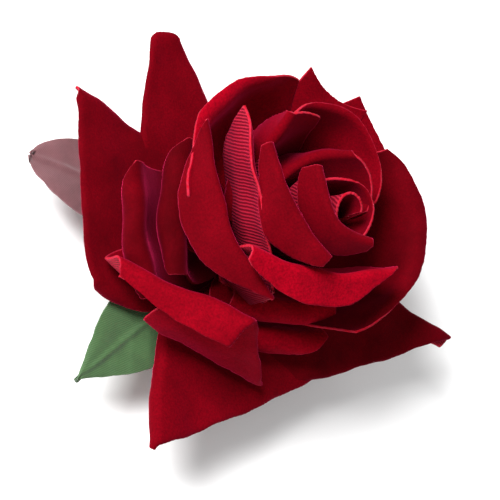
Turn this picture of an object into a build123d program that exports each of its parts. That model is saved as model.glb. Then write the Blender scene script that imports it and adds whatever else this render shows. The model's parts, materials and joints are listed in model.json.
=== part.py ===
"""Velvet rose hair clip.

A fabric rose with two leaves, built ring by ring on a plastic stem, sits on a felt pad that is glued to the
upper lever of a sprung steel clip.  Lengths are in millimetres and angles in degrees.

Frame: the underside of the lower lever lies in z = 0 and the rose opens upwards along +Z through the origin.
The clip runs along X, with its jaws towards +X and its finger tabs towards -X.
"""

import os
from math import cos, radians, sin, tan

from build123d import *

# ---------------------------------------------------------------- clip ----
SHEET = 0.8  # steel thickness of both levers
LEVER_WIDTH = 9.0
LEVER_GAP = 8.0  # free height between the two plates
JAW_REACH = 34.0  # pivot to jaw tip
TAB_REACH = 18.0  # pivot to the end of the finger tabs
PIVOT_X = -8.0
TIP_LENGTH = 6.0  # toothed stretch at the end of each jaw
TIP_SLOPE_RUN = 3.5  # length over which each jaw bends to the middle
TOOTH_PITCH = 1.2
TOOTH_HEIGHT = 0.45
TOOTH_GAP = 0.1  # between closed teeth
BEND_RADIUS = 0.9
TAB_GROOVES = 4
GROOVE_RADIUS = 0.3

PIN_RADIUS = 0.9
PIN_HEAD_RADIUS = 1.6
PIN_HEAD_HEIGHT = 0.5
SEAT_CLEARANCE = 0.02  # pin in the upper ears
RUNNING_CLEARANCE = 0.06  # pin in the lower ears
EAR_RADIUS = 2.3
EAR_GAP = 0.15  # between the nested ears
HEAD_GAP = 0.05  # between an ear and a rivet head

SPRING_WIRE = 0.7
SPRING_BORE_GAP = 0.25  # between the coil and the pin
SPRING_TURNS = 4
SPRING_PITCH = 0.78
SPRING_LEG = 9.0
LEG_SLOPE = 0.35

# ------------------------------------------------------------ mounting ----
GLUE_THICKNESS = 0.3
GLUE_LENGTH = 30.0
FELT_RADIUS = 15.0
FELT_THICKNESS = 1.2
CALYX_BASE_RADIUS = 11.0
CALYX_TOP_RADIUS = 6.5
CALYX_HEIGHT = 2.3
STEM_RADIUS = 3.0
STEM_FLANGE_RADIUS = 9.0
STEM_FLANGE_THICKNESS = 0.8
CORE_RADIUS = 4.2
CORE_WALL = 0.57  # foam around the stem at the core's foot
CORE_HEIGHT = 19.5
CORE_RISE = 1.2  # height of the core's foot over the foot of the bud's petals
CORE_SOCKET_DEPTH = 5.0

# -------------------------------------------------------------- leaves ----
LEAF_THICKNESS = 0.6
LEAF_REACH = 52.0
LEAF_HALF_WIDTH = 9.0
LEAF_DROOP = 2.0
LEAF_AZIMUTHS = (-124, -71)

# -------------------------------------------------------------- petals ----
PETAL_THICKNESS = 1.0
LAYER_PITCH = 2.0  # height between the foot of one ring and the next
FOOT_GAP = 0.05  # between the stem and the foot of a petal or leaf

OUTER_WALL_RISE = 1.5  # height gained half way along an outer petal
OUTER_TIP_RISE = 6.0
OUTER_SHOULDER = 33.0  # radius at which an outer petal starts to narrow
OUTER_CORNER = 2.5
OUTER_SPACING = 4.0  # angle left free between two outer petals
# azimuth, reach, half width of the tip, sideways shift of the tip
OUTER_PETALS = (
    (-44, 51.0, 3.0, -4.0),
    (30, 51.0, 4.0, 8.0),
    (102, 46.0, 4.0, 0.0),
    (174, 49.0, 3.0, 12.0),
    (246, 45.0, 17.0, 0.0),
)

# Standing petals, ring by ring: azimuth, spread, wall radius, rim radius, rim height over the ring's foot
GUARD_RING = (
    (-100, 40, 32.0, 35.5, 19.0),
    (-56, 44, 33.0, 35.0, 17.0),
    (-12, 38, 22.0, 24.5, 15.0),
    (64, 66, 30.0, 35.0, 15.0),
    (134, 66, 30.0, 35.0, 17.0),
)
CUP_RING = (
    (-112, 44, 26.5, 29.5, 21.0),
    (-20, 60, 15.5, 18.0, 19.0),
    (66, 90, 25.0, 29.0, 24.0),
    (182, 80, 27.0, 31.5, 24.0),
)
INNER_RING = (
    (-102, 76, 22.5, 25.5, 28.0),
    (-16, 84, 11.5, 13.0, 29.0),
    (160, 94, 20.5, 24.0, 27.0),
)
HEART_RING = (
    (-118, 44, 18.5, 20.5, 28.0),
    (70, 110, 9.0, 10.0, 27.0),
    (188, 60, 15.0, 18.5, 28.0),
)
WRAP_RING = (
    (-88, 80, 9.5, 9.7, 29.0),
    (190, 70, 10.5, 12.0, 26.0),
)
BUD_RING = (
    (-80, 150, 6.6, 6.4, 27.0),
    (100, 150, 6.6, 6.2, 27.0),
)
RINGS = {
    "guard_petal": (GUARD_RING, 7.0),  # with the drop of the rim from its middle to its shoulders
    "cup_petal": (CUP_RING, 6.0),
    "inner_petal": (INNER_RING, 6.0),
    "heart_petal": (HEART_RING, 5.0),
    "wrap_petal": (WRAP_RING, 4.0),
    "bud_petal": (BUD_RING, 3.0),
}

# ---------------------------------------------------- derived positions ----
PIVOT_Z = SHEET + LEVER_GAP / 2
UPPER_UNDERSIDE = SHEET + LEVER_GAP
UPPER_TOP = UPPER_UNDERSIDE + SHEET
TAB_END = PIVOT_X - TAB_REACH
JAW_TIP = PIVOT_X + JAW_REACH
GLUE_TOP = UPPER_TOP + GLUE_THICKNESS
FELT_TOP = GLUE_TOP + FELT_THICKNESS
FLANGE_TOP = FELT_TOP + STEM_FLANGE_THICKNESS
CALYX_TOP = FELT_TOP + CALYX_HEIGHT
LEAF_FOOT = CALYX_TOP + LEAF_THICKNESS / 2 + FOOT_GAP
PETAL_START = STEM_RADIUS + FOOT_GAP
OUTER_FOOT = LEAF_FOOT + LEAF_THICKNESS / 2 + PETAL_THICKNESS / 2 + 0.2
BUD_FOOT = OUTER_FOOT + len(RINGS) * LAYER_PITCH
CORE_FOOT = BUD_FOOT + CORE_RISE
STEM_TOP = CORE_FOOT + CORE_SOCKET_DEPTH

os.makedirs("parts", exist_ok=True)


def save(part, label):
    """Name a finished piece and write it to its own file."""
    part.label = label
    export_step(part, f"parts/{label}.step")


def radial_plane(azimuth):
    """Plane through the rose's axis whose x is the radius at that azimuth and whose y is the height."""
    a = radians(azimuth)
    return Plane(origin=(0, 0, 0), x_dir=(cos(a), sin(a), 0), z_dir=(sin(a), -cos(a), 0))


def facing_plane(azimuth):
    """Upright plane through the axis, seen from outside at that azimuth: x runs sideways, y is the height."""
    a = radians(azimuth)
    return Plane(origin=(0, 0, 0), x_dir=(-sin(a), cos(a), 0), z_dir=(cos(a), sin(a), 0))


def plan_plane(azimuth):
    """Horizontal plane through the origin whose x points along that azimuth."""
    a = radians(azimuth)
    return Plane(origin=(0, 0, 0), x_dir=(cos(a), sin(a), 0), z_dir=(0, 0, 1))


# ------------------------------------------------------------- the clip ----
def lever_profile():
    """Side view of a lever that lies in y >= 0 with its outer face down: plate, bent jaw and teeth."""
    tip_top = LEVER_GAP / 2 + SHEET - TOOTH_GAP / 2 - TOOTH_HEIGHT
    tip_start = JAW_TIP - TIP_LENGTH
    slope_start = tip_start - TIP_SLOPE_RUN
    teeth = int(TIP_LENGTH / TOOTH_PITCH)
    points = [
        (TAB_END, 0),
        (slope_start, 0),
        (tip_start, tip_top - SHEET),
        (JAW_TIP, tip_top - SHEET),
        (JAW_TIP, tip_top),
    ]
    for tooth in range(teeth):
        root = JAW_TIP - tooth * TOOTH_PITCH
        points.append((root - TOOTH_PITCH / 2, tip_top + TOOTH_HEIGHT))
        points.append((root - TOOTH_PITCH, tip_top))
    points += [
        (tip_start - SHEET / 2, tip_top),
        (slope_start - SHEET / 2, SHEET),
        (TAB_END, SHEET),
    ]
    return points


def side_plane(y, up=1):
    """Upright plane at that y, with its x along the clip and its y up (or down, for the upper lever)."""
    base = 0 if up > 0 else UPPER_TOP
    return Plane(origin=(0, y, base), x_dir=(1, 0, 0), z_dir=(0, -up, 0))


def make_lever(up, ear_outer, hole_radius):
    """One lever, right way up (up=1) or turned over (up=-1), with its two pierced ears and finger grooves."""
    half = LEVER_WIDTH / 2
    pivot_height = SHEET + LEVER_GAP / 2
    with BuildPart() as lever:
        with BuildSketch(side_plane(0, up)) as side:
            with BuildLine():
                Polyline(*lever_profile(), close=True)
            make_face()
            bends = [v for v in side.vertices() if abs(v.Y) < 1e-6 and v.X > PIVOT_X]
            fillet(bends, BEND_RADIUS)
        extrude(amount=half, both=True)
        with BuildSketch():
            with Locations(((TAB_END + JAW_TIP) / 2, 0)):
                RectangleRounded(JAW_TIP - TAB_END, LEVER_WIDTH, half - 0.7)
        extrude(amount=UPPER_TOP, mode=Mode.INTERSECT)
        for outer_face in (ear_outer, SHEET - ear_outer):
            with BuildSketch(side_plane(outer_face, up)):
                with BuildLine():
                    crown = ThreePointArc(
                        (PIVOT_X - EAR_RADIUS, pivot_height),
                        (PIVOT_X, pivot_height + EAR_RADIUS),
                        (PIVOT_X + EAR_RADIUS, pivot_height),
                    )
                    Polyline(
                        crown @ 1,
                        (PIVOT_X + EAR_RADIUS + 1, 0),
                        (PIVOT_X - EAR_RADIUS - 1, 0),
                        crown @ 0,
                    )
                make_face()
            extrude(amount=SHEET * up)
        with Locations(Location((PIVOT_X, 0, PIVOT_Z), (90, 0, 0))):
            Cylinder(hole_radius, LEVER_WIDTH + 2, mode=Mode.SUBTRACT)
        outer_z = 0 if up > 0 else UPPER_TOP
        grooves = [(TAB_END + 2.5 + 1.5 * i, 0, outer_z) for i in range(TAB_GROOVES)]
        with Locations(*[Location(at, (90, 0, 0)) for at in grooves]):
            Cylinder(GROOVE_RADIUS, LEVER_WIDTH - 2.4, mode=Mode.SUBTRACT)
    return lever.part


upper_ear_outer = LEVER_WIDTH / 2
lower_ear_outer = upper_ear_outer - SHEET - EAR_GAP
upper_lever = make_lever(-1, upper_ear_outer, PIN_RADIUS + SEAT_CLEARANCE)
lower_lever = make_lever(1, lower_ear_outer, PIN_RADIUS + RUNNING_CLEARANCE)
save(upper_lever, "upper_lever")
save(lower_lever, "lower_lever")

# Rivet through the four ears.
with BuildPart() as pivot_rivet:
    head_inner = LEVER_WIDTH / 2 + HEAD_GAP
    with BuildSketch(Plane.XZ.offset(-head_inner)):
        with Locations((PIVOT_X, PIVOT_Z)):
            Circle(PIN_RADIUS)
    extrude(amount=2 * head_inner)
    for side in (-1, 1):
        with BuildSketch(Plane.XZ.offset(side * head_inner)):
            with Locations((PIVOT_X, PIVOT_Z)):
                Circle(PIN_HEAD_RADIUS)
        extrude(amount=side * PIN_HEAD_HEIGHT)
    heads = pivot_rivet.faces().filter_by(Axis.Y)
    outer_heads = [heads.sort_by(Axis.Y)[0], heads.sort_by(Axis.Y)[-1]]
    fillet([e for face in outer_heads for e in face.edges()], PIN_HEAD_HEIGHT * 0.6)
save(pivot_rivet.part, "pivot_rivet")

# Torsion spring round the rivet: its legs press the two finger tabs apart and so hold the jaws shut.
coil_radius = PIN_RADIUS + SPRING_BORE_GAP + SPRING_WIRE / 2
coil_length = SPRING_TURNS * SPRING_PITCH
leg_rise = LEVER_GAP / 2 - coil_radius - SPRING_WIRE / 2 - 0.05
coil_frame = Plane(origin=(PIVOT_X, -coil_length / 2, PIVOT_Z), x_dir=(0, 0, 1), z_dir=(0, 1, 0))
coil = coil_frame.from_local_coords(Helix(SPRING_PITCH, coil_length + SPRING_PITCH / 2, coil_radius))
upper_end = coil @ 0 + Vector(-SPRING_LEG, 0, leg_rise)
lower_end = coil @ 1 + Vector(-SPRING_LEG, 0, -leg_rise)
upper_leg = Spline(upper_end, coil @ 0, tangents=((1, 0, -LEG_SLOPE), coil % 0))
lower_leg = Spline(coil @ 1, lower_end, tangents=(coil % 1, (-1, 0, -LEG_SLOPE)))
spring_path = Wire([upper_leg.edge(), coil.edge(), lower_leg.edge()])
with BuildPart() as torsion_spring:
    with BuildSketch(Plane(origin=spring_path @ 0, z_dir=spring_path % 0)):
        Circle(SPRING_WIRE / 2)
    sweep(path=spring_path, is_frenet=True)
save(torsion_spring.part, "torsion_spring")

# ------------------------------------------------- glue, felt and stem ----
with BuildPart() as glue_pad:
    with BuildSketch(Plane.XY.offset(UPPER_TOP)):
        RectangleRounded(GLUE_LENGTH, LEVER_WIDTH - 1, (LEVER_WIDTH - 1) / 2 - 0.5)
    extrude(amount=GLUE_THICKNESS)
save(glue_pad.part, "glue_pad")

with BuildPart() as felt_pad:
    with BuildSketch(Plane.XY.offset(GLUE_TOP)):
        Circle(FELT_RADIUS)
    extrude(amount=FELT_THICKNESS)
    fillet(felt_pad.edges().filter_by(GeomType.CIRCLE), FELT_THICKNESS * 0.35)
save(felt_pad.part, "felt_pad")

with BuildPart() as flower_stem:
    with BuildSketch(Plane.XY.offset(FELT_TOP)):
        Circle(STEM_FLANGE_RADIUS)
    extrude(amount=STEM_FLANGE_THICKNESS)
    with BuildSketch(Plane.XY.offset(FELT_TOP)):
        Circle(STEM_RADIUS)
    extrude(amount=STEM_TOP - FELT_TOP)
    chamfer(flower_stem.edges().group_by(Axis.Z)[-1], 0.5)
save(flower_stem.part, "flower_stem")

with BuildPart() as calyx_cup:
    with BuildSketch(Plane.XZ):
        with BuildLine():
            Polyline(
                (STEM_RADIUS, FLANGE_TOP),
                (STEM_FLANGE_RADIUS, FLANGE_TOP),
                (STEM_FLANGE_RADIUS, FELT_TOP),
                (CALYX_BASE_RADIUS, FELT_TOP),
                (CALYX_TOP_RADIUS, CALYX_TOP),
                (STEM_RADIUS, CALYX_TOP),
                close=True,
            )
        make_face()
    revolve(axis=Axis.Z)
    fillet(calyx_cup.edges().filter_by(GeomType.CIRCLE).group_by(Axis.Z)[-1].sort_by(Edge.length)[-1], 0.6)
save(calyx_cup.part, "calyx_cup")

with BuildPart() as bud_core:
    core_top = CORE_FOOT + CORE_HEIGHT
    with BuildSketch(Plane.XZ):
        with BuildLine():
            foot = Line((0, CORE_FOOT), (STEM_RADIUS + CORE_WALL, CORE_FOOT))
            skin = Bezier(
                foot @ 1,
                (CORE_RADIUS * 1.15, CORE_FOOT + CORE_HEIGHT * 0.35),
                (CORE_RADIUS * 0.95, CORE_FOOT + CORE_HEIGHT * 0.8),
                (0, core_top),
            )
            Line(skin @ 1, foot @ 0)
        make_face()
    revolve(axis=Axis.Z)
    with BuildSketch(Plane.XY.offset(CORE_FOOT)):
        Circle(STEM_RADIUS)
    extrude(amount=CORE_SOCKET_DEPTH, mode=Mode.SUBTRACT)
save(bud_core.part, "bud_core")


# --------------------------------------------------------------- leaves ----
def make_leaf(azimuth):
    """A flat fabric leaf on a moulded midrib, from the stem out past the outer petals."""
    foot_half_width = STEM_RADIUS * sin(radians(20))
    with BuildPart() as leaf:
        with BuildSketch(radial_plane(azimuth - 50)):
            with BuildLine() as spine:
                Bezier(
                    (PETAL_START, LEAF_FOOT),
                    (LEAF_REACH * 0.5, LEAF_FOOT),
                    (LEAF_REACH, LEAF_FOOT - LEAF_DROOP),
                )
            trace(spine.line, LEAF_THICKNESS)
        revolve(axis=Axis.Z, revolution_arc=100)
        with BuildSketch(plan_plane(azimuth)):
            with BuildLine():
                for side in (-1, 1):
                    Bezier(
                        (0, side * foot_half_width),
                        (LEAF_REACH * 0.5, side * foot_half_width),
                        (LEAF_REACH * 0.5, side * LEAF_HALF_WIDTH * 1.6),
                        (LEAF_REACH * 0.85, side * LEAF_HALF_WIDTH),
                        (LEAF_REACH - 0.5, 0),
                    )
                Line((0, foot_half_width), (0, -foot_half_width))
            make_face()
        extrude(amount=LEAF_FOOT + 5, mode=Mode.INTERSECT)
    return leaf.part


for number, azimuth in enumerate(LEAF_AZIMUTHS, 1):
    save(make_leaf(azimuth), f"leaf_{number}")


# --------------------------------------------------------------- petals ----
def make_outer_petal(azimuth, reach, tip_half_width, tip_shift):
    """A spread petal of the lowest ring: a curved plate that narrows to a tip."""
    half_angle = (360 / len(OUTER_PETALS) - OUTER_SPACING) / 2
    shoulder_x = OUTER_SHOULDER * cos(radians(half_angle))
    shoulder_y = OUTER_SHOULDER * sin(radians(half_angle))
    span = reach + abs(tip_shift)
    with BuildPart() as petal:
        with BuildSketch(radial_plane(azimuth - half_angle)):
            with BuildLine() as spine:
                Bezier(
                    (PETAL_START, OUTER_FOOT),
                    (span * 0.5, OUTER_FOOT + OUTER_WALL_RISE),
                    (span, OUTER_FOOT + OUTER_TIP_RISE),
                )
            trace(spine.line, PETAL_THICKNESS)
        revolve(axis=Axis.Z, revolution_arc=2 * half_angle)
        with BuildSketch(plan_plane(azimuth)):
            with BuildLine():
                Polyline(
                    (0, 0),
                    (shoulder_x, -shoulder_y),
                    (reach, tip_shift - tip_half_width),
                    (reach, tip_shift + tip_half_width),
                    (shoulder_x, shoulder_y),
                    close=True,
                )
            outline = make_face()
            fillet(outline.vertices().filter_by(lambda v: Vector(v).length > 1), OUTER_CORNER)
        extrude(amount=OUTER_FOOT + 3 * OUTER_TIP_RISE, mode=Mode.INTERSECT)
    return petal.part


def make_ring_petal(start, end, foot, wall_radius, rim_radius, rim_height, crown):
    """A standing petal between two azimuths: a sector of a cup with a crowned rim."""
    rim = foot + rim_height
    half_width = 1.05 * max(wall_radius, rim_radius)
    side_drop = half_width * tan(radians(30))
    with BuildPart() as petal:
        with BuildSketch(radial_plane(start)):
            with BuildLine() as spine:
                Bezier(
                    (PETAL_START, foot),
                    (wall_radius, foot),
                    (wall_radius, foot + rim_height * 0.55),
                    (rim_radius, rim),
                )
            trace(spine.line, PETAL_THICKNESS)
        revolve(axis=Axis.Z, revolution_arc=end - start)
        with BuildSketch(facing_plane((start + end) / 2)):
            with BuildLine():
                arch = ThreePointArc(
                    (-half_width, rim - crown - side_drop),
                    (0, rim),
                    (half_width, rim - crown - side_drop),
                )
                Polyline(arch @ 1, (half_width, 0), (-half_width, 0), arch @ 0)
            make_face()
        extrude(amount=2 * half_width, mode=Mode.INTERSECT)
    return petal.part


for number, petal_sizes in enumerate(OUTER_PETALS, 1):
    save(make_outer_petal(*petal_sizes), f"outer_petal_{number}")

for layer, (label, (ring, crown)) in enumerate(RINGS.items(), 1):
    ring_foot = OUTER_FOOT + layer * LAYER_PITCH
    for number, (azimuth, spread, wall_radius, rim_radius, rim_height) in enumerate(ring, 1):
        petal = make_ring_petal(
            azimuth - spread / 2, azimuth + spread / 2, ring_foot, wall_radius, rim_radius, rim_height, crown
        )
        save(petal, f"{label}_{number}")
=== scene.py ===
"""Velvet rose hair clip: cloth petals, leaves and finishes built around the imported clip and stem."""

import json
from math import cos, pi, radians, sin

import bpy
import numpy as np
from mathutils import Matrix, Vector


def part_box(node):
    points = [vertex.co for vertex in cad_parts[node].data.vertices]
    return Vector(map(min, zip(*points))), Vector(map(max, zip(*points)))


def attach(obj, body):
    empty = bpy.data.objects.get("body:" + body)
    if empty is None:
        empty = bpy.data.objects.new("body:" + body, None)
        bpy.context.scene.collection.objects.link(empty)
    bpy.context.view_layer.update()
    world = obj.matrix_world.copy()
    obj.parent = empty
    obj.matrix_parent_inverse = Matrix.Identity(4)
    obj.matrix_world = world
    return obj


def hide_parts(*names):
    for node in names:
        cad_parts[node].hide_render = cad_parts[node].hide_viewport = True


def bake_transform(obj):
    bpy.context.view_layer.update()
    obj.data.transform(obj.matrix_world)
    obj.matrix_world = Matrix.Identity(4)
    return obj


bl_info = {
    "name": "Velvet Rose Hair Clip",
    "version": (1, 0, 0),
    "blender": (4, 5, 0),
    "location": "View3D > Sidebar > Rose Clip",
    "description": "Builds the velvet petals, leaves, pad, spring and finishes of a rose hair clip",
    "category": "Object",
}

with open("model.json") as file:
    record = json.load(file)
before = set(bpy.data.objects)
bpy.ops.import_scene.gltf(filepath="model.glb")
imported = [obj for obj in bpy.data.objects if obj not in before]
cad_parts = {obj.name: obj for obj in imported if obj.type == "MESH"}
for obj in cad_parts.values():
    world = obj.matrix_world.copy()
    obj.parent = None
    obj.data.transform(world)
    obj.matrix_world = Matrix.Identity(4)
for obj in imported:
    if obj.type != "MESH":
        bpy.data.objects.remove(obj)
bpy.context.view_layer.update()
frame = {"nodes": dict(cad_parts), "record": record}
MM = 0.001
FLOWER = "flower_and_upper_lever"

PIVOT = Vector(frame["record"]["behaviour"]["joints"][0]["pos_m"])

# Heights in millimetres at which each ring of petals is glued to the stem.
OUTER_FOOT = 14.9
GUARD_FOOT = 16.8
CUP_FOOT = 18.8
INNER_FOOT = 20.8
HEART_FOOT = 22.8
WRAP_FOOT = 24.8
BUD_FOOT = 26.8
PETAL_START = 3.1
LEAF_FOOT = 13.7

# Cut edges, in millimetres: how far their threads stand out, and from which share of the length they are loose.
FRAY_STEP = 0.10
FRAY_FROM = 0.3
# Width in metres of the square of cloth that a piece's flat map covers.
MAP_SPAN = 0.1


# ------------------------------------------------------------- settings ----
class ROSE_PG_sizes(bpy.types.PropertyGroup):
    """Sizes of the cloth and its weave."""

    cloth: bpy.props.FloatProperty(
        name="Cloth thickness",
        description="Thickness of the velvet, pile and backing together",
        default=0.00055,
        unit="LENGTH",
    )
    leaf_cloth: bpy.props.FloatProperty(
        name="Leaf thickness",
        description="Thickness of the stiffened leaf cloth",
        default=0.0005,
        unit="LENGTH",
    )
    rib_pitch: bpy.props.FloatProperty(
        name="Rib pitch",
        description="Distance from one rib of the backing to the next",
        default=0.00072,
        unit="LENGTH",
    )
    thread_pitch: bpy.props.FloatProperty(
        name="Thread pitch",
        description="Distance between the fine threads that cross the ribs",
        default=0.00038,
        unit="LENGTH",
    )
    fray: bpy.props.FloatProperty(
        name="Fray width",
        description="Width of the loosened threads along a cut edge",
        default=0.0002,
        unit="LENGTH",
    )
    cells: bpy.props.IntProperty(
        name="Cloth cells",
        description="Cells across and along each petal",
        default=84,
    )


class ROSE_PG_colours(bpy.types.PropertyGroup):
    """Colours of the cloth, in linear light."""

    velvet: bpy.props.FloatVectorProperty(
        name="Velvet",
        description="Pile of the petals",
        subtype="COLOR",
        size=3,
        default=(0.34, 0.0005, 0.0090),
    )
    # Painted shade: the velvet colour of petals that stand in shade; each petal's share of painted light mixes
    # from it to the velvet colour.
    velvet_painted_shade: bpy.props.FloatVectorProperty(
        name="Velvet shade",
        description="Pile where it is brushed away from the light",
        subtype="COLOR",
        size=3,
        default=(0.05, 0.0001, 0.0013),
    )
    backing: bpy.props.FloatVectorProperty(
        name="Backing",
        description="Ribbed backing of the velvet",
        subtype="COLOR",
        size=3,
        default=(0.40, 0.0025, 0.022),
    )
    fray: bpy.props.FloatVectorProperty(
        name="Frayed threads",
        description="Loose threads of a cut edge",
        subtype="COLOR",
        size=3,
        default=(0.34, 0.012, 0.032),
    )
    leaf_mauve: bpy.props.FloatVectorProperty(
        name="Mauve leaf",
        description="Printed colour of the first leaf",
        subtype="COLOR",
        size=3,
        default=(0.145, 0.052, 0.060),
    )
    leaf_green: bpy.props.FloatVectorProperty(
        name="Green leaf",
        description="Printed colour of the second leaf",
        subtype="COLOR",
        size=3,
        default=(0.034, 0.085, 0.024),
    )


# -------------------------------------------------------- cloth geometry ----
def bezier(controls, count=160):
    """Points on the Bezier curve through a list of (radius, height) controls, and their running length."""
    step = np.linspace(0, 1, count)[:, None]
    points = [np.array(c, float)[None, :] * np.ones_like(step) for c in controls]
    while len(points) > 1:
        points = [a * (1 - step) + b * step for a, b in zip(points, points[1:])]
    line = points[0]
    run = np.concatenate([[0], np.cumsum(np.linalg.norm(np.diff(line, axis=0), axis=1))])
    return line, run


def curl(across, along, lift, tip, roll):
    """Roll the cloth that lies beyond a straight line round that line, towards its back.

    roll is the line's normal as an angle from the petal's length, how far inside the tip the line passes, the
    radius of the roll and the angle it turns through.
    """
    angle, inset, radius, turn = roll
    nx, ny = sin(radians(angle)), cos(radians(angle))
    beside = across * ny - (along - tip) * nx
    waver = 0.20 * np.sin(0.38 * beside + angle) + 0.06 * np.sin(1.1 * beside)
    past_line = across * nx + (along - tip) * ny + inset + waver
    most = radians(turn)
    theta = np.clip(past_line / radius, 0, most)
    free = np.maximum(past_line - radius * most, 0)
    forward = radius * np.sin(theta) + free * np.cos(theta) - lift * np.sin(theta)
    rise = radius * (1 - np.cos(theta)) + free * np.sin(theta) + lift * np.cos(theta)
    rolled = past_line > 0
    shift = np.where(rolled, forward - past_line, 0)
    return across + shift * nx, along + shift * ny, np.where(rolled, rise, lift)


def flared(reach, tip_height):
    """Profile of a petal that spreads outwards near the level of its foot."""
    return [
        (PETAL_START, OUTER_FOOT),
        (reach * 0.4, OUTER_FOOT + 0.7),
        (reach * 0.75, OUTER_FOOT + 2.1),
        (reach, tip_height),
    ]


def cupped(foot, wall, rim, rim_height, rise=0.55):
    """Profile of a petal that runs out to its wall's radius and stands up to its rim."""
    return [
        (PETAL_START, foot),
        (wall, foot),
        (wall, foot + (rim_height - foot) * rise),
        (rim, rim_height),
    ]


def petal(azimuth, profile, half, curls=(), cup=(1.1, 1.1), crown=3.0, squareness=2.4, **more):
    """The cut and pose of one petal, in millimetres and degrees."""
    cut = {
        "azimuth": azimuth,
        "profile": profile,
        "half": half,
        "curls": curls,
        "cup": cup,
        "crown": crown,
        "squareness": squareness,
        "foot": 4.0,
        "shift": 0.0,
        "skew": 0.0,
        "slant": 0.0,
        "sides": (1.0, 1.0),
        "open": (1.0, 1.0),
        "wave": (0.2, 1.5, 1.0),
        "soft": 0.55,
        # Painted light and shade of the petal: its share from the shaded velvet colour (0) to the lit one (1).
        "nap": 0.35,
    }
    cut.update(more)
    return cut


def petal_cut(cut, a, b, length):
    """Flat position of each cloth point: across and along the petal, before it is shaped."""
    spread = np.sin(np.clip(b / 0.55, 0, 1) * pi / 2) ** 1.2
    half = cut["foot"] + (cut["half"] - cut["foot"]) * spread
    drop = cut["crown"] * np.abs(a) ** cut["squareness"] - cut["slant"] * a
    side = np.where(a < 0, cut["sides"][0], cut["sides"][1])
    return a * half * side, b * (length - drop * b**2)


def leaf_cut(cut, a, b, length):
    """Flat position of each point of a leaf, which swells from its stalk and closes at its tip."""
    swell = np.sin(pi * b ** cut["belly"]) ** cut["point"]
    half = cut["foot"] * (1 - b) ** 2 + cut["half"] * swell
    return a * half, b * length


def flat_position(cut, a, b, length):
    """Flat position of each cloth point of a petal or a leaf."""
    return (leaf_cut if "point" in cut else petal_cut)(cut, a, b, length)


def shaped(cut, a, b):
    """Place of every cloth point in millimetres, and its flat position."""
    line, run = bezier(cut["profile"])
    length = run[-1]
    across, along = flat_position(cut, a, b, length)
    flat = np.stack([across, along], -1)
    lift = np.zeros_like(across)
    for roll in cut["curls"]:
        across, along, lift = curl(across, along, lift, length, roll)
    size, waves, phase = cut["wave"]
    lift = lift + size * np.sin(a * pi * waves + phase) * b**2
    sag = np.sin(0.30 * flat[..., 0] + 0.11 * flat[..., 1] + cut["azimuth"])
    dent = np.sin(0.34 * flat[..., 1] - 0.17 * flat[..., 0] + 2.0 * cut["azimuth"])
    lift = lift + cut["soft"] * sag * dent * b
    if "vein" in cut:
        lift = lift + cut["vein"] * np.exp(-((across / 0.7) ** 2))
        side = np.abs(np.sin((along - np.abs(across) * 0.9) * pi / 5.0)) ** 6
        lift = lift + 0.25 * cut["vein"] * side
    # The base surface: a profile in the petal's radial plane, curved across by the cup.
    inside = np.clip(along, 0, length)
    tangent = np.gradient(line, run, axis=0)
    tr, tz = np.interp(inside, run, tangent[:, 0]), np.interp(inside, run, tangent[:, 1])
    norm = np.hypot(tr, tz)
    tr, tz = tr / norm, tz / norm
    beyond = np.maximum(along - length, 0)
    radius = np.interp(inside, run, line[:, 0]) + beyond * tr
    height = np.interp(inside, run, line[:, 1]) + beyond * tz
    share = np.clip(along / length, 0, 1)
    across = across + cut["shift"] * share
    bend = (cut["cup"][0] + (cut["cup"][1] - cut["cup"][0]) * share) * np.maximum(radius, 3.0)
    bend = bend / np.where(across < 0, cut["open"][0], cut["open"][1])
    turn = across / bend
    out = radius - bend * (1 - np.cos(turn)) + cut["skew"] * across / cut["half"] * share
    x = out + lift * tz * np.cos(turn)
    y = bend * np.sin(turn) + lift * np.sin(turn)
    z = height - lift * tr
    az = radians(cut["azimuth"])
    return np.stack([x * cos(az) - y * sin(az), x * sin(az) + y * cos(az), z], -1), flat


def roughened(a, b, seed):
    """Small irregular steps along the cut edges, as scissors and loose threads leave them."""
    rng = np.random.default_rng(seed)
    at_edge = np.maximum(np.abs(a), b) > 0.999
    return np.where(at_edge & (b > FRAY_FROM), rng.normal(0, FRAY_STEP, a.shape), 0)


def select_only(obj):
    """Make one object the only selected and active one."""
    bpy.ops.object.select_all(action="DESELECT")
    obj.select_set(True)
    bpy.context.view_layer.objects.active = obj


def apply_modifiers(obj):
    """Apply all modifiers of an object, in order."""
    select_only(obj)
    for modifier in list(obj.modifiers):
        bpy.ops.object.modifier_apply(modifier=modifier.name)


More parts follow.
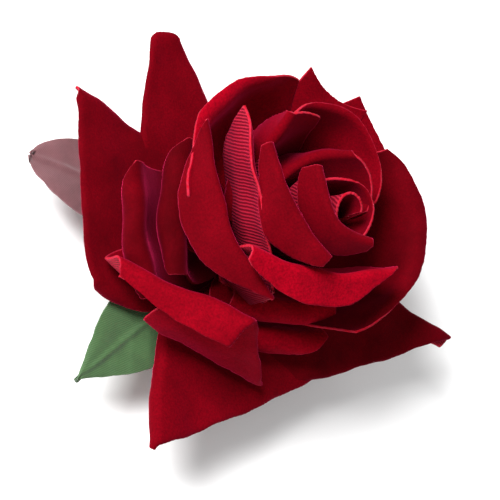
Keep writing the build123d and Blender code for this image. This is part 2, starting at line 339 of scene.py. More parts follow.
def cloth_piece(name, cut, materials, thickness, seed):
    """One cut piece of cloth: a grid shaped by its cut, thickened towards its back."""
    cells = bpy.context.scene.rose_sizes.cells
    bpy.ops.object.select_all(action="DESELECT")
    bpy.ops.mesh.primitive_grid_add(x_subdivisions=cells, y_subdivisions=cells, size=2)
    obj = bpy.context.object
    obj.name = name
    mesh = obj.data
    mesh.name = name
    place = np.empty(len(mesh.vertices) * 3)
    mesh.vertices.foreach_get("co", place)
    place = place.reshape(-1, 3)
    a, b = place[:, 0], (place[:, 1] + 1) / 2
    points, flat = shaped(cut, a, b)
    jag = roughened(a, b, seed)
    centre = np.array([0, 0, points[:, 2].mean()])
    away = points - centre
    away /= np.linalg.norm(away, axis=1, keepdims=True) + 1e-9
    points = points + away * jag[:, None]
    mesh.vertices.foreach_set("co", (points * MM).ravel())
    # Flat size, for the weave.
    corner = np.empty(len(mesh.loops), int)
    mesh.loops.foreach_get("vertex_index", corner)
    uv = flat * MM / MAP_SPAN + (0.5, 0.0)
    mesh.uv_layers.active.data.foreach_set("uv", uv[corner].ravel())
    half_here, _ = flat_position(cut, np.ones_like(a), b, 1.0)
    to_side = (1 - np.abs(a)) * half_here
    to_rim = (1 - b) * flat[:, 1].max()
    edge = mesh.attributes.new("cut_edge", "FLOAT", "POINT")
    edge.data.foreach_set("value", np.minimum(to_side, to_rim).astype(np.float32))
    # Painted light and shade of each petal, handed to its velvet material.
    nap = mesh.attributes.new("nap", "FLOAT", "POINT")
    nap.data.foreach_set("value", np.full(len(mesh.vertices), cut["nap"], np.float32))
    for material in materials:
        mesh.materials.append(material)
    mesh.flip_normals()
    smooth = obj.modifiers.new("settle", "SMOOTH")
    smooth.factor = 0.5
    smooth.iterations = 3
    solid = obj.modifiers.new("cloth", "SOLIDIFY")
    solid.thickness = thickness
    solid.offset = -1
    solid.material_offset = 1
    solid.material_offset_rim = 2
    apply_modifiers(obj)
    bpy.ops.object.shade_smooth()
    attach(obj, FLOWER)
    width = 2 * np.abs(flat[:, 0]).max() * MM
    length = flat[:, 1].max() * MM
    return obj, (width, length), cut_area(cut) * MM**2


def cut_area(cut):
    """Flat area of a cut in square millimetres, from a coarse grid of its points."""
    steps = 41
    a, b = np.meshgrid(np.linspace(-1, 1, steps), np.linspace(0, 1, steps))
    _, run = bezier(cut["profile"])
    across, along = flat_position(cut, a, b, run[-1])
    dx = np.diff(across, axis=1)[:-1]
    dy = np.diff(along, axis=0)[:, :-1]
    return float(np.sum(np.abs(dx * dy)))


# ----------------------------------------------------------- node helpers ----
def shader(name, **values):
    """A new material with a Principled shader whose sockets hold the given plain values."""
    material = bpy.data.materials.new(name)
    material.use_nodes = True
    tree = material.node_tree
    main = tree.nodes["Principled BSDF"]
    for socket, value in values.items():
        main.inputs[socket.replace("_", " ")].default_value = value
    return material, tree, main


def add(tree, kind, **settings):
    """A new node of that kind, with its settings and with the plain values of its inputs by number."""
    node = tree.nodes.new(kind)
    for key, value in settings.items():
        if key.startswith("in_"):
            node.inputs[int(key[3:])].default_value = value
        else:
            setattr(node, key, value)
    return node


def maths(tree, operation, *terms, clamp=False):
    """A maths node whose terms are plain numbers or output sockets."""
    node = add(tree, "ShaderNodeMath", operation=operation, use_clamp=clamp)
    for socket, term in zip(node.inputs, terms):
        if isinstance(term, (int, float)):
            socket.default_value = term
        else:
            tree.links.new(term, socket)
    return node.outputs[0]


def mix_colour(tree, factor, first, second, blend="MIX"):
    """A colour mix whose terms are plain colours or output sockets."""
    node = add(tree, "ShaderNodeMix", data_type="RGBA", blend_type=blend)
    for socket, term in ((node.inputs[0], factor), (node.inputs[6], first), (node.inputs[7], second)):
        if isinstance(term, (int, float)):
            socket.default_value = term
        elif isinstance(term, (tuple, list)):
            socket.default_value = (*term[:3], 1.0)
        else:
            tree.links.new(term, socket)
    return node.outputs[2]


def group(name, inputs, outputs):
    """A new shader node group with number inputs (name: default) and number outputs."""
    tree = bpy.data.node_groups.new(name, "ShaderNodeTree")
    for label, default in inputs.items():
        socket = tree.interface.new_socket(label, in_out="INPUT", socket_type="NodeSocketFloat")
        socket.default_value = default
    for label in outputs:
        tree.interface.new_socket(label, in_out="OUTPUT", socket_type="NodeSocketFloat")
    entry = tree.nodes.new("NodeGroupInput")
    leave = tree.nodes.new("NodeGroupOutput")
    return tree, entry.outputs, leave.inputs


def use(tree, shared, **values):
    """Place a shared group in a material, with its inputs by name."""
    node = add(tree, "ShaderNodeGroup", node_tree=shared)
    for label, value in values.items():
        node.inputs[label.replace("_", " ")].default_value = value
    return node.outputs


def bump(tree, height, strength, distance, main):
    """Feed a height into the shader's normal."""
    node = add(tree, "ShaderNodeBump")
    node.inputs["Strength"].default_value = strength
    node.inputs["Distance"].default_value = distance
    tree.links.new(height, node.inputs["Height"])
    tree.links.new(node.outputs[0], main.inputs["Normal"])


def noise(tree, scale, detail=2.0, roughness=0.5, vector=None):
    """A noise texture on object coordinates, or on the given vector; returns its 0 to 1 value."""
    node = add(tree, "ShaderNodeTexNoise")
    node.inputs["Scale"].default_value = scale
    node.inputs["Detail"].default_value = detail
    node.inputs["Roughness"].default_value = roughness
    if vector is None:
        vector = add(tree, "ShaderNodeTexCoord").outputs["Object"]
    tree.links.new(vector, node.inputs["Vector"])
    return node.outputs[0]


def spread(tree, value, low, high, to_low=0.0, to_high=1.0):
    """Stretch the part of a value between low and high over a new range."""
    node = add(tree, "ShaderNodeMapRange")
    node.inputs[1].default_value = low
    node.inputs[2].default_value = high
    node.inputs[3].default_value = to_low
    node.inputs[4].default_value = to_high
    tree.links.new(value, node.inputs[0])
    return node.outputs[0]


# ---------------------------------------------------------- shared groups ----
def pile_group():
    """Velvet pile: fine tufts, and the slow changes of shade where the pile was brushed or pressed."""
    scales = {"Brush Scale": 90.0, "Tuft Scale": 2600.0}
    tree, given, out = group("Velvet pile", scales, ("Brushed", "Tufts"))
    coordinates = add(tree, "ShaderNodeTexCoord").outputs["Object"]
    slow = noise(tree, 90.0, 4.0, 0.6, coordinates)
    tree.links.new(given["Brush Scale"], slow.node.inputs["Scale"])
    fine = noise(tree, 2600.0, 3.0, 0.7, coordinates)
    tree.links.new(given["Tuft Scale"], fine.node.inputs["Scale"])
    speckle = noise(tree, 900.0, 2.0, 0.6, coordinates)
    brushed = maths(tree, "ADD", maths(tree, "MULTIPLY", slow, 0.7), maths(tree, "MULTIPLY", speckle, 0.3))
    tree.links.new(spread(tree, brushed, 0.36, 0.64), out["Brushed"])
    tufts = maths(tree, "ADD", maths(tree, "MULTIPLY", fine, 0.7), maths(tree, "MULTIPLY", speckle, 0.3))
    tree.links.new(tufts, out["Tufts"])
    return tree


def weave_group():
    """Ribbed weave that follows the cloth: broad ribs crossed by fine threads, on the piece's own flat map."""
    pitches = {"Rib Pitch": 0.0072, "Thread Pitch": 0.0038, "Slope": 0.0}
    tree, given, out = group("Ribbed weave", pitches, ("Ribs", "Threads", "Height"))
    flat = add(tree, "ShaderNodeUVMap").outputs[0]
    parts = add(tree, "ShaderNodeSeparateXYZ")
    tree.links.new(flat, parts.inputs[0])
    wobble = maths(tree, "MULTIPLY", maths(tree, "SUBTRACT", noise(tree, 30.0, 2.0, 0.5, flat), 0.5), 0.004)
    tilted = maths(tree, "ADD", parts.outputs[0], maths(tree, "MULTIPLY", parts.outputs[1], given["Slope"]))
    along = maths(tree, "ADD", tilted, wobble)
    turns = maths(tree, "DIVIDE", along, given["Rib Pitch"])
    ribs = maths(tree, "SINE", maths(tree, "MULTIPLY", turns, 2 * pi))
    ribs = maths(tree, "MULTIPLY_ADD", ribs, 0.5, 0.5)
    row = maths(tree, "MULTIPLY", maths(tree, "FLOOR", maths(tree, "ADD", turns, 0.25)), 0.5)
    cross = maths(tree, "ADD", maths(tree, "DIVIDE", parts.outputs[1], given["Thread Pitch"]), row)
    threads = maths(tree, "SINE", maths(tree, "MULTIPLY", cross, 2 * pi))
    threads = maths(tree, "MULTIPLY_ADD", threads, 0.5, 0.5)
    tree.links.new(ribs, out["Ribs"])
    tree.links.new(threads, out["Threads"])
    height = maths(tree, "MULTIPLY", ribs, maths(tree, "MULTIPLY_ADD", threads, 0.45, 0.55))
    tree.links.new(height, out["Height"])
    return tree


def fray_group():
    """Mask of loosened threads beside a cut edge."""
    tree, given, out = group("Frayed edge", {"Width": 0.4}, ("Frayed",))
    distance = add(tree, "ShaderNodeAttribute", attribute_name="cut_edge").outputs["Fac"]
    ragged = maths(tree, "MULTIPLY", noise(tree, 1400.0, 2.0, 0.7), given["Width"])
    near = maths(tree, "SUBTRACT", maths(tree, "MULTIPLY", ragged, 2.0), distance)
    tree.links.new(spread(tree, near, 0.0, 0.25), out["Frayed"])
    return tree


def wear_group():
    """Fine scratches and soft smudges on plated metal."""
    tree, given, out = group("Metal wear", {"Scratch Scale": 500.0}, ("Scratches", "Smudge"))
    where = add(tree, "ShaderNodeTexCoord").outputs["Object"]
    stretch = add(tree, "ShaderNodeMapping")
    stretch.inputs["Scale"].default_value = (0.12, 1.0, 1.0)
    tree.links.new(where, stretch.inputs["Vector"])
    lines = noise(tree, 500.0, 4.0, 0.7, stretch.outputs[0])
    tree.links.new(given["Scratch Scale"], lines.node.inputs["Scale"])
    tree.links.new(lines, out["Scratches"])
    tree.links.new(noise(tree, 120.0, 3.0, 0.6, where), out["Smudge"])
    return tree


# -------------------------------------------------------------- materials ----
def velvet_material(groups):
    """Pile side of the petals, with painted light and shade set petal by petal."""
    colours = bpy.context.scene.rose_colours
    sizes = bpy.context.scene.rose_sizes
    material, tree, main = shader(
        "velvet",
        Roughness=0.85,
        Specular_IOR_Level=0.02,
        Sheen_Weight=0.40,
        Sheen_Roughness=0.35,
        Sheen_Tint=(1.0, 0.03, 0.16, 1.0),
    )
    pile = use(tree, groups["pile"], Brush_Scale=150.0, Tuft_Scale=2200.0)
    fray = use(tree, groups["fray"], Width=sizes.fray / MM)
    # Painted light and shade: each petal's share mixes from the shaded velvet colour to the lit one, with a
    # little random brushing of the pile added.
    painted_light_and_brushing = add(tree, "ShaderNodeAttribute", attribute_name="nap").outputs["Fac"]
    painted_light_and_brushing = maths(tree, "ADD", painted_light_and_brushing, spread(tree, pile["Brushed"], 0.0, 1.0, -0.08, 0.08), clamp=True)
    base = mix_colour(tree, painted_light_and_brushing, tuple(colours.velvet_painted_shade), tuple(colours.velvet))
    base = mix_colour(tree, spread(tree, pile["Tufts"], 0.38, 0.62, 0.0, 0.55), base, (0.05, 0.0002, 0.002))
    base = mix_colour(tree, fray["Frayed"], base, tuple(colours.fray))
    tree.links.new(base, main.inputs["Base Color"])
    bump(tree, pile["Tufts"], 0.55, 0.00022, main)
    return material


def backing_material(groups):
    """Woven, ribbed back of the petals, with painted shade between the ribs and painted highlights on them."""
    colours = bpy.context.scene.rose_colours
    sizes = bpy.context.scene.rose_sizes
    material, tree, main = shader(
        "velvet_backing",
        Roughness=0.5,
        Specular_IOR_Level=0.10,
        Sheen_Weight=0.08,
        Sheen_Roughness=0.4,
        Sheen_Tint=(1.0, 0.10, 0.30, 1.0),
    )
    weave = use(
        tree,
        groups["weave"],
        Rib_Pitch=sizes.rib_pitch / MAP_SPAN,
        Thread_Pitch=sizes.thread_pitch / MAP_SPAN,
        Slope=-0.5,
    )
    fray = use(tree, groups["fray"], Width=sizes.fray / MM)
    # Painted shade in the valleys between the ribs, and a lighter copy of the backing colour for painted
    # highlights.
    shade = tuple(0.34 * c for c in colours.backing)
    light = tuple(min(1.0, c * 1.15 + 0.03) for c in colours.backing)
    base = mix_colour(tree, weave["Ribs"], shade, tuple(colours.backing))
    # Painted highlight where the ribs and threads cross.
    glint = maths(tree, "MULTIPLY", maths(tree, "MULTIPLY", weave["Ribs"], weave["Threads"]), 0.6)
    base = mix_colour(tree, glint, base, light)
    base = mix_colour(tree, fray["Frayed"], base, tuple(colours.fray))
    tree.links.new(base, main.inputs["Base Color"])
    bump(tree, weave["Height"], 0.8, 0.00018, main)
    return material


def cut_material(groups):
    """Thickness of the cloth where it was cut."""
    colours = bpy.context.scene.rose_colours
    material, tree, main = shader("cut_threads", Roughness=0.9, Specular_IOR_Level=0.1)
    pile = use(tree, groups["pile"], Brush_Scale=900.0, Tuft_Scale=3000.0)
    base = mix_colour(tree, pile["Brushed"], tuple(colours.velvet), tuple(colours.fray))
    tree.links.new(base, main.inputs["Base Color"])
    bump(tree, pile["Tufts"], 0.6, 0.0002, main)
    return material


def leaf_material(groups, name, colour, slope):
    """Printed leaf cloth: a weave finer than the velvet's, pale loose threads and an uneven tint."""
    sizes = bpy.context.scene.rose_sizes
    material, tree, main = shader(
        name, Roughness=0.62, Specular_IOR_Level=0.3, Sheen_Weight=0.25, Sheen_Roughness=0.5
    )
    weave = use(
        tree,
        groups["weave"],
        Rib_Pitch=0.6 * sizes.rib_pitch / MAP_SPAN,
        Thread_Pitch=0.8 * sizes.thread_pitch / MAP_SPAN,
        Slope=slope,
    )
    pile = use(tree, groups["pile"], Brush_Scale=60.0, Tuft_Scale=1500.0)
    fray = use(tree, groups["fray"], Width=0.3)
    dark = tuple(0.62 * c for c in colour)
    pale = tuple(min(1.0, 1.35 * c + 0.02) for c in colour)
    base = mix_colour(tree, pile["Brushed"], dark, tuple(colour))
    base = mix_colour(tree, maths(tree, "MULTIPLY", weave["Ribs"], 0.30), base, pale)
    base = mix_colour(tree, maths(tree, "MULTIPLY", fray["Frayed"], 0.5), base, pale)
    tree.links.new(base, main.inputs["Base Color"])
    bump(tree, weave["Height"], 0.6, 0.00012, main)
    return material


def felt_material(groups):
    """Pressed felt of the mounting pad."""
    material, tree, main = shader("felt", Roughness=0.95, Sheen_Weight=0.3, Sheen_Roughness=0.6)
    pile = use(tree, groups["pile"], Brush_Scale=220.0, Tuft_Scale=1300.0)
    base = mix_colour(tree, pile["Brushed"], (0.045, 0.003, 0.006), (0.12, 0.008, 0.016))
    base = mix_colour(tree, spread(tree, pile["Tufts"], 0.55, 0.75, 0.0, 0.6), base, (0.25, 0.04, 0.05))
    tree.links.new(base, main.inputs["Base Color"])
    bump(tree, pile["Tufts"], 0.9, 0.0004, main)
    return material


def foam_material(groups):
    """Dense foam of the bud's core."""
    material, tree, main = shader("core_foam", Roughness=0.95)
    pile = use(tree, groups["pile"], Brush_Scale=300.0, Tuft_Scale=1800.0)
    base = mix_colour(tree, pile["Brushed"], (0.10, 0.002, 0.008), (0.20, 0.004, 0.016))
    tree.links.new(base, main.inputs["Base Color"])
    bump(tree, pile["Tufts"], 0.8, 0.0003, main)
    return material


def metal_material(groups, name, colour, roughness):
    """Plated or drawn steel with fine scratches."""
    material, tree, main = shader(name, Metallic=1.0)
    wear = use(tree, groups["wear"], Scratch_Scale=700.0)
    worn = tuple(0.72 * c for c in colour)
    base = mix_colour(tree, spread(tree, wear["Smudge"], 0.4, 0.7), colour, worn)
    tree.links.new(base, main.inputs["Base Color"])
    rough = spread(tree, wear["Scratches"], 0.3, 0.7, roughness * 0.7, roughness * 1.5)
    tree.links.new(rough, main.inputs["Roughness"])
    bump(tree, wear["Scratches"], 0.12, 0.00005, main)
    return material


def plastic_material(groups, name, colour, roughness=0.5):
    """Moulded plastic with a faint grain."""
    material, tree, main = shader(name, Roughness=roughness)
    pile = use(tree, groups["pile"], Brush_Scale=150.0, Tuft_Scale=900.0)
    base = mix_colour(tree, pile["Brushed"], tuple(0.7 * c for c in colour), colour)
    tree.links.new(base, main.inputs["Base Color"])
    bump(tree, pile["Tufts"], 0.25, 0.00015, main)
    return material


def glue_material(groups):
    """Set hot-melt glue, milky and glossy."""
    material, tree, main = shader("glue", Roughness=0.22, Subsurface_Weight=0.2)
    pile = use(tree, groups["pile"], Brush_Scale=200.0, Tuft_Scale=500.0)
    base = mix_colour(tree, pile["Brushed"], (0.62, 0.58, 0.47), (0.78, 0.75, 0.66))
    tree.links.new(base, main.inputs["Base Color"])
    bump(tree, pile["Tufts"], 0.3, 0.0003, main)
    return material


MATERIALS = {}


def finishes():
    """All materials by name, made once."""
    if not MATERIALS:
        colours = bpy.context.scene.rose_colours
        groups = {"pile": pile_group(), "weave": weave_group(), "fray": fray_group(), "wear": wear_group()}
        MATERIALS.update(
            velvet=velvet_material(groups),
            backing=backing_material(groups),
            cut=cut_material(groups),
            leaf_mauve=leaf_material(groups, "leaf_mauve", tuple(colours.leaf_mauve), 0.7),
            leaf_green=leaf_material(groups, "leaf_green", tuple(colours.leaf_green), 0.25),
            felt=felt_material(groups),
            foam=foam_material(groups),
            lever=metal_material(groups, "lever_steel", (0.78, 0.78, 0.80), 0.22),
            rivet=metal_material(groups, "rivet_steel", (0.60, 0.60, 0.62), 0.35),
            wire=metal_material(groups, "spring_wire", (0.42, 0.42, 0.45), 0.38),
            calyx=plastic_material(groups, "calyx_plastic", (0.075, 0.17, 0.045)),
            stem=plastic_material(groups, "stem_plastic", (0.06, 0.14, 0.04)),
            glue=glue_material(groups),
        )
    return MATERIALS


# ----------------------------------------------------------------- petals ----
# In every ring below, the last setting of each petal is its share of painted light: how brightly its velvet is
# painted, standing in for the light and shade that fall on it.
OUTER_PETALS = {
    "outer_petal_1": petal(
        -36, flared(53, 20.5), 26,
        [(36, 8.4, 0.8, 175), (-84, -11.5, 1.7, 175)],
        (6, 6), crown=7, squareness=3, foot=5, slant=-5, sides=(0.65, 1), wave=(0.5, 1.5, 2), nap=0.3,
    ),
    "outer_petal_2": petal(
        30, flared(53, 21), 27,
        [(-33, 11.4, 0.8, 175), (100, -19.3, 1.7, 170)],
        (6, 6), crown=7, squareness=3, foot=5, slant=6, wave=(0.5, 1.5, 0), nap=0.12,
    ),
    "outer_petal_3": petal(
        102, flared(47, 20), 22,
        [(45, 4, 1.2, 175), (-45, 4, 1.2, 175)],
        (6, 6), crown=4, squareness=3, foot=5, wave=(0.5, 1.5, 2), nap=0.2,
    ),
    "outer_petal_4": petal(
        -168, flared(50, 20.5), 19,
        [(54, 0.4, 0.8, 175), (-85, -3.6, 1.7, 175), (-20, 1.5, 1.2, 150)],
        (4, 4), squareness=3, foot=5, sides=(0.5, 1), wave=(0.5, 1.5, 1), nap=0.24,
    ),
    "outer_petal_5": petal(
        -116, flared(50, 20.5), 24,
        [(13, 7.6, 0.8, 175), (-107, -21, 1.7, 120), (72, -12, 1.7, 175)],
        (6, 6), squareness=3, foot=5, sides=(1, 0.9), wave=(0.4, 1.5, 0), nap=0.16,
    ),
}
GUARD_PETALS = {
    "guard_petal_1": petal(
        -102, cupped(GUARD_FOOT, 32, 37, 35), 15,
        [(5, 9.5, 2.7, 300)],
        (1.6, 2.8), crown=5, squareness=2.4, sides=(1, 0.85), nap=0.12,
    ),
    "guard_petal_2": petal(
        -50, [(PETAL_START, GUARD_FOOT), (34, 15.5), (31.5, 20), (29, 30), (23, 51)], 30,
        [(46, 10, 0.6, 168), (-27, 10, 2.1, 130)],
        (2, 16), crown=8, squareness=2.2, shift=0.6, slant=12, sides=(1, 0.53), nap=0.45,
    ),
    "guard_petal_3": petal(
        -20, cupped(GUARD_FOOT, 21, 24, 31), 13,
        [(-12, 8.5, 2.7, 300)],
        (2, 4), crown=4, squareness=2.6, nap=0.6,
    ),
    "guard_petal_4": petal(
        98, cupped(GUARD_FOOT, 30, 38, 27), 20,
        (),
        (1.3, 1.6), crown=-1.5, squareness=3, wave=(0.3, 1.5, 1), nap=0.35,
    ),
    "guard_petal_5": petal(
        134, cupped(GUARD_FOOT, 30, 37, 26.5), 9,
        (),
        (1.2, 1.4), crown=-3, squareness=2, wave=(0.4, 1.5, 1), nap=0.4,
    ),
}
CUP_PETALS = {
    "cup_petal_1": petal(
        -113, cupped(CUP_FOOT, 25, 29, 39), 14,
        [(5, 9.5, 2.7, 300)],
        (1.6, 2.8), crown=5, squareness=2.4, nap=0.04,
    ),
    "cup_petal_2": petal(
        -21, cupped(CUP_FOOT, 15, 17.5, 37), 13,
        [(0, 9.5, 2.6, 300)],
        (2, 4), crown=4, squareness=2.6, nap=0.9,
    ),
    "cup_petal_3": petal(
        64, cupped(CUP_FOOT, 24, 29, 42), 24,
        [(0, 5, 3.5, 120)],
        (0.9, 0.9), crown=4, squareness=2.2, skew=2, slant=1, wave=(0.4, 1.5, 1), nap=0.14,
    ),
    "cup_petal_4": petal(
        -156, cupped(CUP_FOOT, 26.5, 31.5, 41.5), 23,
        [(0, 4, 3, 110)],
        (1.05, 1.05), crown=4, shift=-1, skew=-2, slant=2, wave=(0.4, 1.5, 1), nap=0.85,
    ),
}
INNER_PETALS = {
    "inner_petal_1": petal(
        -106, cupped(INNER_FOOT, 23, 26, 54, 0.5), 18.5,
        [(0, 11, 1, 140)],
        (1.1, 1.15), crown=10, squareness=2, skew=-6, open=(0.35, 1), nap=0.22,
    ),
    "inner_petal_2": petal(
        -18, cupped(INNER_FOOT, 11.5, 12.8, 57, 0.5), 19,
        [(0, 9, 1.5, 115)],
        (3, 6), crown=7, squareness=2, shift=-4.5, slant=-2, nap=0.9,
    ),
    "inner_petal_3": petal(
        160, cupped(INNER_FOOT, 19, 23.4, 46.5), 22,
        [(0, 2, 1.5, 90)],
        (0.62, 0.62), squareness=2.2, shift=-4, wave=(0.3, 1.5, 1), nap=0.4,
    ),
}
HEART_PETALS = {
    "heart_petal_1": petal(
        -92, cupped(HEART_FOOT, 14.5, 18.5, 50), 18,
        [(0, 1, 1, 50)],
        (3, 8), crown=6, squareness=2, shift=-8, slant=-4, nap=0.3,
    ),
    "heart_petal_2": petal(
        100, cupped(HEART_FOOT, 6, 7, 51), 10,
        [(0, 1, 1, 100)],
        (1.1, 1), crown=2, squareness=2.2, foot=3, nap=0.3,
    ),
    "heart_petal_3": petal(
        -155, cupped(HEART_FOOT, 15, 22, 51.5), 12,
        [(55, 5, 1, 150)],
        (1, 1), crown=4, squareness=1.6, nap=0.4,
    ),
}
WRAP_PETALS = {
    "wrap_petal_1": petal(
        -66, cupped(WRAP_FOOT, 11, 13, 63, 0.5), 13,
        [(0, 10, 1.2, 150)],
        (2, 4), crown=6, squareness=2, shift=-12, nap=0.24,
    ),
    "wrap_petal_2": petal(
        -162, cupped(WRAP_FOOT, 10, 12.5, 53), 17,
        [(55, 5, 1, 150)],
        (0.75, 0.75), crown=4, squareness=1.8, shift=-5, nap=0.3,
    ),
}
BUD_PETALS = {
    "bud_petal_1": petal(
        -50, [(PETAL_START, BUD_FOOT), (5.5, 36), (5.5, 46), (5.2, 64)], 10,
        [(0, 9.5, 1, 160)],
        (1.5, 2.5), crown=4, squareness=2.2, foot=3, shift=-5, nap=0.25,
    ),
    "bud_petal_2": petal(
        160, [(PETAL_START, BUD_FOOT), (3.5, 36), (3.2, 46), (2.8, 53)], 6,
        (),
        (1.1, 1), crown=1, squareness=2.2, foot=3, skew=-1, nap=0.3,
    ),
}


def build_petals(petals, seed):
    """Make one ring of petals, each in place of its CAD solid."""
    made = finishes()
    sizes = bpy.context.scene.rose_sizes
    shells = [made["velvet"], made["backing"], made["cut"]]
    for number, (node, cut) in enumerate(petals.items()):
        obj, flat, area = cloth_piece(f"cloth_{node}", cut, shells, sizes.cloth, seed + number)
        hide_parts(node)


class ROSE_OT_outer_petals(bpy.types.Operator):
    """Spread petals of the lowest ring, rolled back to points"""

    bl_idname = "rose.outer_petals"
    bl_label = "Outer Petals"

    def execute(self, context):
        build_petals(OUTER_PETALS, 10)
        return {"FINISHED"}


class ROSE_OT_guard_petals(bpy.types.Operator):
    """Standing petals round the cup, with rolled rims and folded corners"""

    bl_idname = "rose.guard_petals"
    bl_label = "Guard Petals"

    def execute(self, context):
        build_petals(GUARD_PETALS, 20)
        return {"FINISHED"}


class ROSE_OT_cup_petals(bpy.types.Operator):
    """Large petals that make the rose's cup"""

    bl_idname = "rose.cup_petals"
    bl_label = "Cup Petals"

    def execute(self, context):
        build_petals(CUP_PETALS, 30)
        return {"FINISHED"}


class ROSE_OT_inner_petals(bpy.types.Operator):
    """Petals inside the cup"""

    bl_idname = "rose.inner_petals"
    bl_label = "Inner Petals"

    def execute(self, context):
        build_petals(INNER_PETALS, 40)
        return {"FINISHED"}


class ROSE_OT_heart_petals(bpy.types.Operator):
    """Petals round the bud, and the bud's own petals"""

    bl_idname = "rose.heart_petals"
    bl_label = "Heart and Bud Petals"

    def execute(self, context):
        build_petals(HEART_PETALS, 50)
        build_petals(WRAP_PETALS, 60)
        build_petals(BUD_PETALS, 65)
        return {"FINISHED"}


# ----------------------------------------------------------------- leaves ----
LEAVES = {
    "leaf_1": petal(
        -124,
        [(PETAL_START, LEAF_FOOT), (25, 13.4), (42, 13.5), (54, 12.5)],
        8.5,
        cup=(4, 4),
        foot=1.4,
        belly=1.5,
        point=0.55,
        vein=-0.5,
    ),
    "leaf_2": petal(
        -71,
        [(PETAL_START, LEAF_FOOT), (25, 13.4), (40, 13), (53, 12)],
        9,
        cup=(4, 4),
        foot=1.4,
        belly=1.25,
        point=1.25,
        vein=-0.5,
    ),
}


class ROSE_OT_leaves(bpy.types.Operator):
    """Two printed cloth leaves under the outer petals"""

    bl_idname = "rose.leaves"
    bl_label = "Leaves"

    def execute(self, context):
        made = finishes()
        for number, (node, cut) in enumerate(LEAVES.items()):
            finish = made["leaf_mauve"] if node == "leaf_1" else made["leaf_green"]
            obj, flat, area = cloth_piece(
                f"cloth_{node}", cut, [finish] * 3, context.scene.rose_sizes.leaf_cloth, 70 + number
            )
            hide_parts(node)
        return {"FINISHED"}


# -------------------------------------------------- pad, core and spring ----
class ROSE_OT_felt_pad(bpy.types.Operator):
    """Round felt pad between the rose and the clip"""

    bl_idname = "rose.felt_pad"
    bl_label = "Felt Pad"

    def execute(self, context):
        low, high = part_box("felt_pad")
        radius = (high.x - low.x) / 2
        thickness = high.z - low.z
        bpy.ops.object.select_all(action="DESELECT")
        bpy.ops.mesh.primitive_circle_add(
            vertices=160, radius=radius * 0.985, fill_type="TRIFAN", location=(0, 0, 0)
        )
        obj = context.object
        obj.name = "felt_disc"
        bpy.ops.object.mode_set(mode="EDIT")
        bpy.ops.mesh.select_all(action="SELECT")
        bpy.ops.mesh.subdivide(number_cuts=2)
        bpy.ops.object.mode_set(mode="OBJECT")
        rng = np.random.default_rng(5)
        waver = rng.normal(0, 0.012, 7)
        for vertex in obj.data.vertices:
            out = Vector((vertex.co.x, vertex.co.y, 0))
            angle = np.arctan2(out.y, out.x)
            reach = out.length / radius
            ripple = sum(w * np.sin((i + 2) * angle + i) for i, w in enumerate(waver)) * reach**3 / 3
            vertex.co = out * (1 + ripple)
            vertex.co.z = low.z + thickness * 0.06
        solid = obj.modifiers.new("felt", "SOLIDIFY")
        solid.thickness = thickness * 0.88
        solid.offset = 1
        bevel = obj.modifiers.new("edge", "BEVEL")
        bevel.width = thickness * 0.3
        bevel.segments = 3
        apply_modifiers(obj)
        bpy.ops.object.shade_smooth_by_angle(angle=radians(50))
        obj.data.materials.append(finishes()["felt"])
        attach(obj, FLOWER)
        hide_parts("felt_pad")
        return {"FINISHED"}


class ROSE_OT_bud_core(bpy.types.Operator):
    """Foam core that the bud's petals are wrapped round"""

    bl_idname = "rose.bud_core"
    bl_label = "Bud Core"

    def execute(self, context):
        low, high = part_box("bud_core")
        height = high.z - low.z
        bpy.ops.object.select_all(action="DESELECT")
        bpy.ops.mesh.primitive_uv_sphere_add(segments=48, ring_count=32, radius=1.0)
        obj = context.object
        obj.name = "foam_core"
        for vertex in obj.data.vertices:
            share = (vertex.co.z + 1) / 2
            narrow = 1 - 0.62 * share**2
            twist = 0.06 * sin(3 * np.arctan2(vertex.co.y, vertex.co.x) + 5 * share)
            vertex.co.x *= high.x * 0.80 * narrow * (1 + twist)
            vertex.co.y *= high.y * 0.80 * narrow * (1 + twist)
            vertex.co.z = low.z + height * (0.02 + 0.90 * share)
        bpy.ops.object.shade_smooth()
        obj.data.materials.append(finishes()["foam"])
        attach(obj, FLOWER)
        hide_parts("bud_core")
        return {"FINISHED"}


class ROSE_OT_spring(bpy.types.Operator):
    """Torsion spring whose lower leg follows the lower lever"""

    bl_idname = "rose.spring"
    bl_label = "Torsion Spring"

    def execute(self, context):
        low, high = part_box("torsion_spring")
        wire = 0.35 * MM
        coil_radius = 1.5 * MM
        half_width = 1.75 * MM
        leg = 9.0 * MM
        leg_steps, turn_steps = 8, 24
        coil_steps = int(4.5 * turn_steps)

        def leg_point(share, side, room):
            """A point of a leg, which bends away from the coil by up to the given room."""
            start = coil_radius + room * share**1.4
            return PIVOT.x - leg * share, -side * half_width, PIVOT.z + side * start

        points = []
        for i in range(leg_steps + 1):
            points.append(leg_point(1 - i / leg_steps, 1, high.z - wire - PIVOT.z - coil_radius))
        for i in range(1, coil_steps + 1):
            angle = 2 * pi * i / turn_steps
            across = -half_width + 2 * half_width * i / coil_steps
            points.append((PIVOT.x + coil_radius * sin(angle), across, PIVOT.z + coil_radius * cos(angle)))
        for i in range(1, leg_steps + 1):
            points.append(leg_point(i / leg_steps, -1, PIVOT.z - coil_radius - low.z - wire))
        bpy.ops.object.select_all(action="DESELECT")
        bpy.ops.curve.primitive_nurbs_path_add(location=(0, 0, 0))
        obj = context.object
        obj.name = "spring_wire"
        curve = obj.data
        curve.dimensions = "3D"
        curve.bevel_depth = wire
        curve.bevel_resolution = 4
        curve.use_fill_caps = True
        curve.splines.clear()
        line = curve.splines.new("POLY")
        line.points.add(len(points) - 1)
        for point, place in zip(line.points, points):
            point.co = (*place, 1)
        select_only(obj)
        bpy.ops.object.convert(target="MESH")
        bpy.ops.object.shade_smooth_by_angle(angle=radians(60))
        obj = context.object
        obj.data.materials.clear()
        obj.data.materials.append(finishes()["wire"])
        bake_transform(obj)
        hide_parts("torsion_spring")
        return {"FINISHED"}


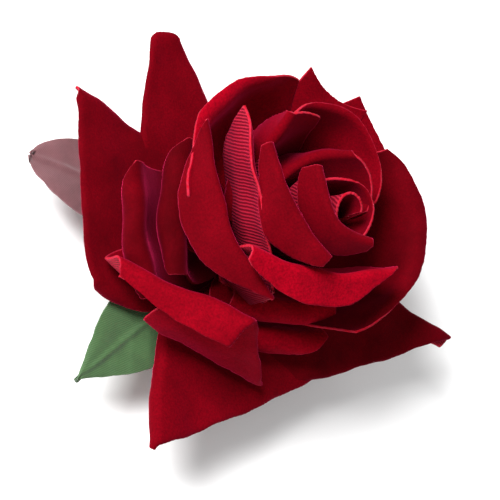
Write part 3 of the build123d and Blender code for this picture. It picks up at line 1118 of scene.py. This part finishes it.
class ROSE_OT_hardware(bpy.types.Operator):
    """Finishes of the levers, rivet, glue, calyx and stem"""

    bl_idname = "rose.hardware"
    bl_label = "Clip and Stem Finishes"

    def execute(self, context):
        made = finishes()
        chosen = {
            "upper_lever": "lever",
            "lower_lever": "lever",
            "pivot_rivet": "rivet",
            "glue_pad": "glue",
            "calyx_cup": "calyx",
            "flower_stem": "stem",
        }
        for node, finish in chosen.items():
            mesh = frame["nodes"][node].data
            mesh.materials.clear()
            mesh.materials.append(made[finish])
        return {"FINISHED"}


# ------------------------------------------------------------------ stage ----
class ROSE_OT_stage(bpy.types.Operator):
    """Pale floor, soft lights and the camera"""

    bl_idname = "rose.stage"
    bl_label = "Stage"

    def execute(self, context):
        scene = context.scene
        bpy.ops.object.select_all(action="DESELECT")
        bpy.ops.mesh.primitive_plane_add(size=6.0, location=(0, 0, -0.0002))
        floor = context.object
        floor.name = "floor"
        material, tree, main = shader("floor_paper", Roughness=0.9, Specular_IOR_Level=0.1)
        tint = noise(tree, 40.0, 2.0)
        base = mix_colour(tree, tint, (0.88, 0.88, 0.88), (0.90, 0.90, 0.90))
        tree.links.new(base, main.inputs["Base Color"])
        floor.data.materials.append(material)

        world = bpy.data.worlds.new("studio")
        scene.world = world
        world.use_nodes = True
        sky = world.node_tree.nodes["Background"]
        sky.inputs["Color"].default_value = (1.0, 1.0, 1.0, 1.0)
        sky.inputs["Strength"].default_value = 0.38
        scene.view_settings.view_transform = "Standard"

        middle = Vector((0, 0, 0.030))
        for name, place, size, power in (
            ("key", (-0.46, -0.48, 0.62), 0.34, 18.0),
            ("fill", (0.45, -0.45, 0.45), 0.6, 1.5),
            ("rim", (-0.35, 0.55, 0.40), 0.5, 1.0),
        ):
            light = bpy.data.lights.new(name, "AREA")
            light.energy = power
            light.size = size
            lamp = bpy.data.objects.new(name, light)
            lamp.location = place
            lamp.rotation_euler = (middle - Vector(place)).to_track_quat("-Z", "Y").to_euler()
            scene.collection.objects.link(lamp)

        # The camera looks down past the petals on the -Y side, turned so that the clip runs up the view.
        lean, roll = radians(36), radians(17)
        distance, aim = 0.330, Vector((0, 0, 0.020))
        framing = (-0.0022, -0.0029)
        back = Vector((0, -sin(lean), cos(lean)))
        away = Vector((0, cos(lean), sin(lean)))
        along = Vector((1, 0, 0))
        right = away * cos(roll) + along * sin(roll)
        up = away * sin(roll) - along * cos(roll)
        camera = bpy.data.objects.new("camera", bpy.data.cameras.new("camera"))
        camera.data.lens = 108
        camera.data.sensor_width = 36
        camera.data.clip_start = 0.01
        place = aim + back * distance + right * framing[0] + up * framing[1]
        turn = Matrix((right, up, back)).transposed()
        camera.matrix_world = Matrix.Translation(place) @ turn.to_4x4()
        scene.collection.objects.link(camera)
        scene.camera = camera
        return {"FINISHED"}


STEPS = (
    ROSE_OT_stage,
    ROSE_OT_hardware,
    ROSE_OT_felt_pad,
    ROSE_OT_bud_core,
    ROSE_OT_spring,
    ROSE_OT_leaves,
    ROSE_OT_outer_petals,
    ROSE_OT_guard_petals,
    ROSE_OT_cup_petals,
    ROSE_OT_inner_petals,
    ROSE_OT_heart_petals,
)


class ROSE_PT_panel(bpy.types.Panel):
    """Buttons for every piece of the rose clip"""

    bl_label = "Rose Clip"
    bl_idname = "ROSE_PT_panel"
    bl_space_type = "VIEW_3D"
    bl_region_type = "UI"
    bl_category = "Rose Clip"

    def draw(self, context):
        for group_name in ("rose_sizes", "rose_colours"):
            settings = getattr(context.scene, group_name)
            for key in type(settings).__annotations__:
                self.layout.prop(settings, key)
        for step in STEPS:
            self.layout.operator(step.bl_idname)


CLASSES = (ROSE_PG_sizes, ROSE_PG_colours, *STEPS, ROSE_PT_panel)


def register():
    """Register the classes and attach the settings to the scene."""
    for cls in CLASSES:
        bpy.utils.register_class(cls)
    bpy.types.Scene.rose_sizes = bpy.props.PointerProperty(type=ROSE_PG_sizes)
    bpy.types.Scene.rose_colours = bpy.props.PointerProperty(type=ROSE_PG_colours)


def unregister():
    """Undo register."""
    del bpy.types.Scene.rose_colours
    del bpy.types.Scene.rose_sizes
    for cls in reversed(CLASSES):
        bpy.utils.unregister_class(cls)


def main():
    """Build the whole rose clip."""
    register()
    for step in STEPS:
        family, name = step.bl_idname.split(".")
        getattr(getattr(bpy.ops, family), name)()
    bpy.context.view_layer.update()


if __name__ == "__main__":
    main()
